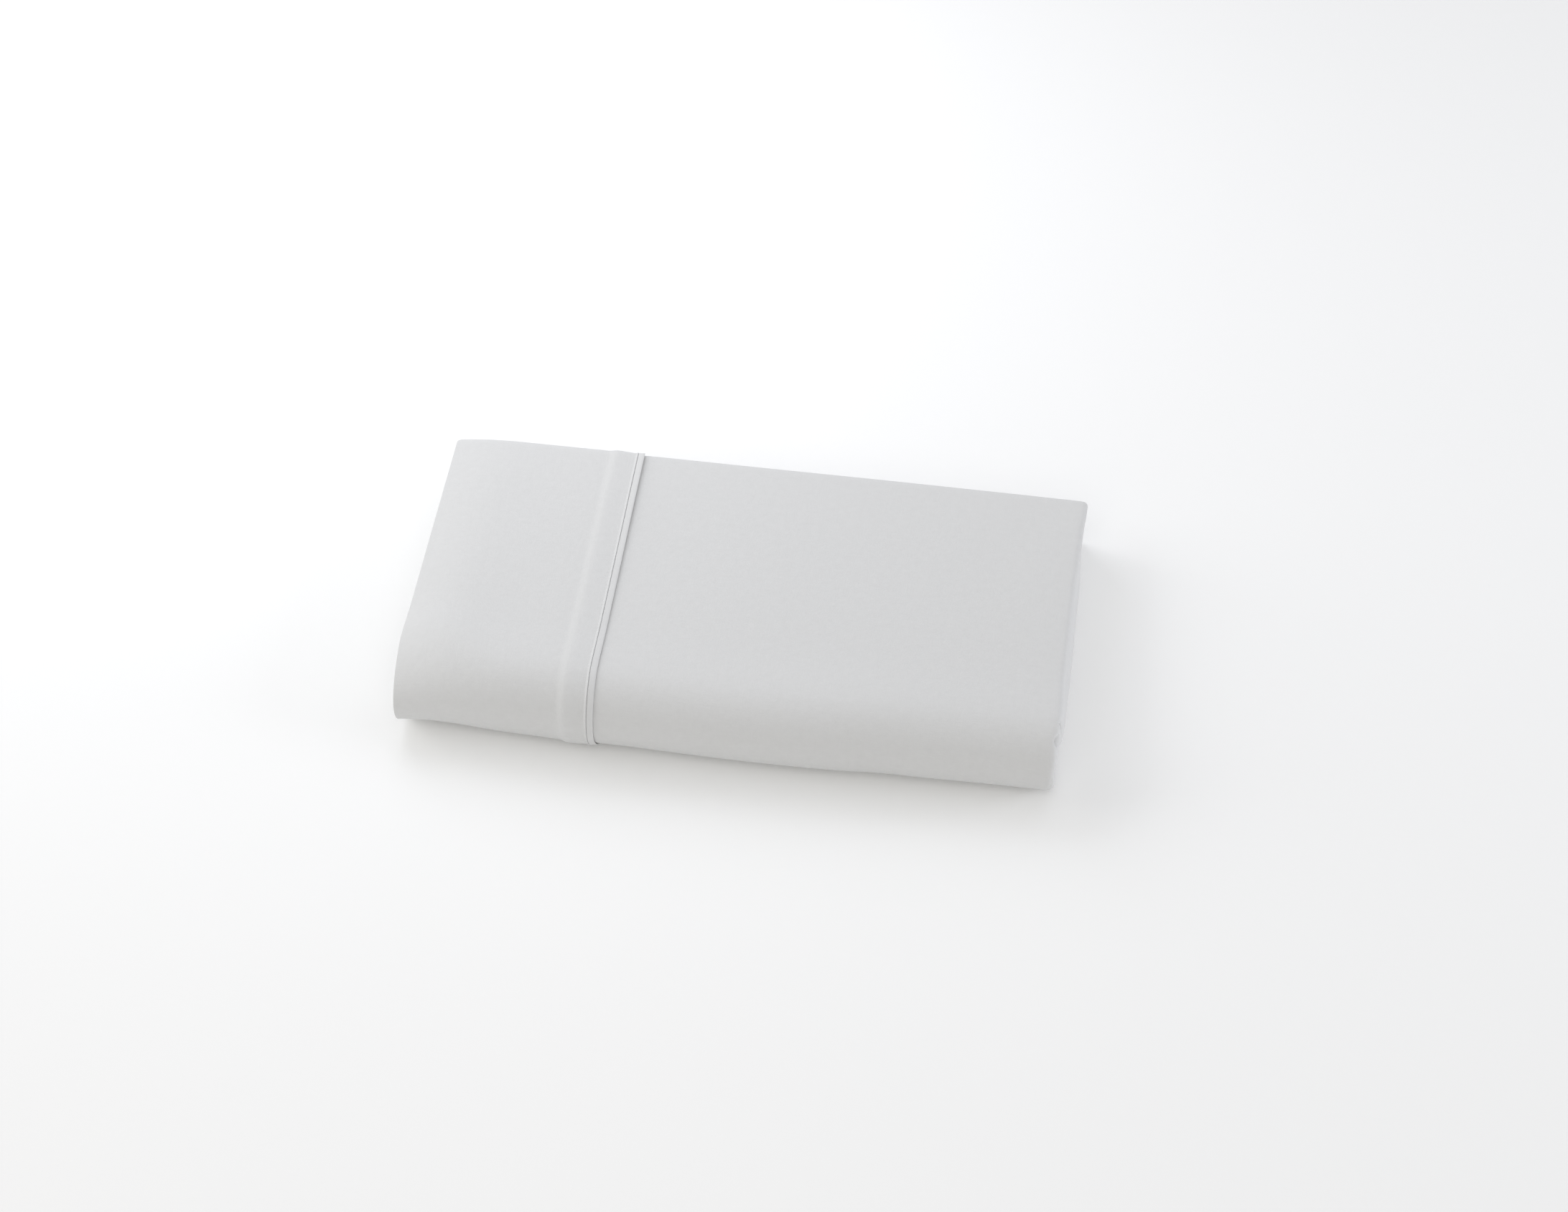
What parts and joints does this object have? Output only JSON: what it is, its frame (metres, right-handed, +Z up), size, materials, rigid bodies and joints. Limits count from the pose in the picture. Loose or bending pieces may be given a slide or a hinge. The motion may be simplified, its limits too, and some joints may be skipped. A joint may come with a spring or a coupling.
{
  "type": "folded flat sheet",
  "caption": "White cotton bed sheet folded to a flat packet, with a smooth rolled fold in front, a rolled side, an open hem end and a flat piping band beside its wide hem.",
  "frame": {"origin": "on the surface that the packet rests on, under the middle of its bounding box", "axes": "+Z up, +X along the packet towards its rolled side, -Y towards its smooth front fold"},
  "size_m": [0.3416, 0.1958, 0.0413],
  "materials": {
    "sheet_cotton": "white cotton percale, closely woven, pressed, with a faint soft sheen",
    "piping_cotton": "white cotton sateen band, folded flat and pressed"
  },
  "bodies": {
    "root": {"sheet": "sheet_cotton", "piping": "piping_cotton"}
  },
  "joints": []
}
